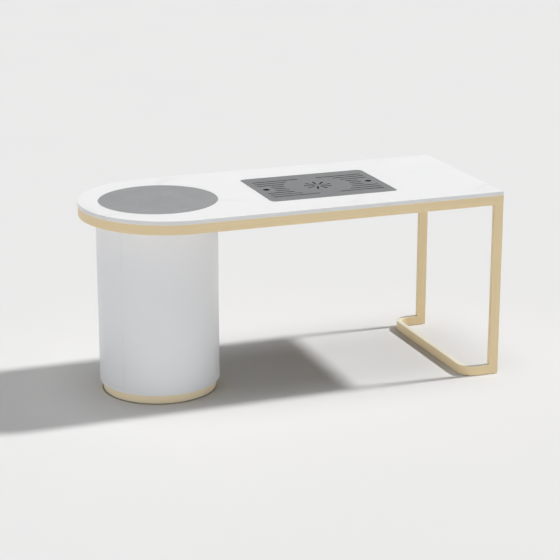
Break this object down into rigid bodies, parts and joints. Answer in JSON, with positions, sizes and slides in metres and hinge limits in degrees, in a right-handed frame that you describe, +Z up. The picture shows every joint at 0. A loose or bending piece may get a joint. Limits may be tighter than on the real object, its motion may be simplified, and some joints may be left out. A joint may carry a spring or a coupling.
{
  "type": "manicure table",
  "caption": "Manicure table with a round-ended stone worktop, a storage drum with a curved door, a gold steel leg frame and a built-in dust collector under a lift-off grille.",
  "frame": {"origin": "on the floor under the middle of the footprint", "axes": "+X to the square end with the legs, +Y to the technician's side, +Z up"},
  "size_m": [1.6, 0.7, 0.75],
  "materials": {
    "white_stone": "polished white with faint grey veins",
    "grey_stone": "satin mid grey",
    "plywood": "raw birch ply",
    "gold_steel": "satin champagne gold plating",
    "zinc_steel": "zinc plated",
    "white_lacquer": "satin white lacquer on bent board",
    "grey_steel": "fine brushed dark stainless",
    "black_rubber": "matte",
    "black_plastic": "fine moulded texture",
    "wire_guard": "black powder coat",
    "filter_paper": "pleated fibre",
    "motor_metal": "turned"
  },
  "bodies": {
    "table": {"stone_top": "white_stone", "disc_inlay": "grey_stone", "substrate_board": "plywood", "front_rail": "gold_steel", "rear_rail": "gold_steel", "end_rail": "gold_steel", "bow_rail": "gold_steel", "cross_rail_1": "gold_steel", "cross_rail_2": "gold_steel", "cross_rail_3": "gold_steel", "cross_rail_4": "gold_steel", "front_leg": "gold_steel", "rear_leg": "gold_steel", "foot_bar": "gold_steel", "leg_bolts": "zinc_steel", "board_screws": "zinc_steel", "floor_pads": "black_rubber", "plinth_core": "plywood", "plinth_band": "gold_steel", "drum_base": "white_lacquer", "drum_shell": "white_lacquer", "drum_top": "white_lacquer", "hinge_post": "plywood", "latch_post": "plywood", "lower_shelf": "white_lacquer", "upper_shelf": "white_lacquer", "shelf_pins": "zinc_steel", "drum_screws": "zinc_steel", "drum_bolts": "zinc_steel", "lower_frame_leaf": "zinc_steel", "upper_frame_leaf": "zinc_steel", "hinge_pins": "zinc_steel", "frame_leaf_screws": "zinc_steel", "latch_body": "black_plastic", "plate_seal": "black_rubber", "collector_tray": "black_plastic", "filter_housing": "black_plastic", "fan_frame": "black_plastic", "fan_motor": "motor_metal", "exhaust_guard": "wire_guard", "fan_screws": "zinc_steel", "housing_screws": "zinc_steel", "control_box": "black_plastic", "speed_control": "zinc_steel", "power_inlet": "black_plastic"},
    "door": {"drum_door": "white_lacquer", "lower_door_leaf": "zinc_steel", "upper_door_leaf": "zinc_steel", "door_leaf_screws": "zinc_steel", "door_strike": "grey_steel"},
    "plunger": {"latch_plunger": "zinc_steel"},
    "grille": {"grille_plate": "grey_steel"},
    "filter": {"filter_drawer": "black_plastic", "filter_media": "filter_paper"},
    "rotor": {"fan_rotor": "black_plastic"},
    "knob": {"control_shaft": "zinc_steel", "control_knob": "black_plastic"}
  },
  "joints": [
    {"name": "door_hinge", "type": "hinge", "parent": "table", "child": "door", "pos_m": [-0.68995, 0.14844, 0.368], "axis": [0, 0, -1], "range_deg": [0, 105]},
    {"name": "latch_press", "type": "slide", "parent": "table", "child": "plunger", "axis": [1, 0, 0], "range_m": [0, 0.003], "stiffness_N_per_m": 300},
    {"name": "grille_lift", "type": "slide", "parent": "table", "child": "grille", "axis": [0, 0, 1], "range_m": [0, 0.15]},
    {"name": "filter_slide", "type": "slide", "parent": "table", "child": "filter", "axis": [0, 1, 0], "range_m": [0, 0.28]},
    {"name": "rotor_spin", "type": "hinge", "parent": "table", "child": "rotor", "pos_m": [0.16, 0, 0.65], "axis": [0, 0, 1], "continuous": true},
    {"name": "knob_turn", "type": "hinge", "parent": "table", "child": "knob", "pos_m": [0.35, 0.15, 0.676], "axis": [0, -1, 0], "range_deg": [0, 270]}
  ]
}
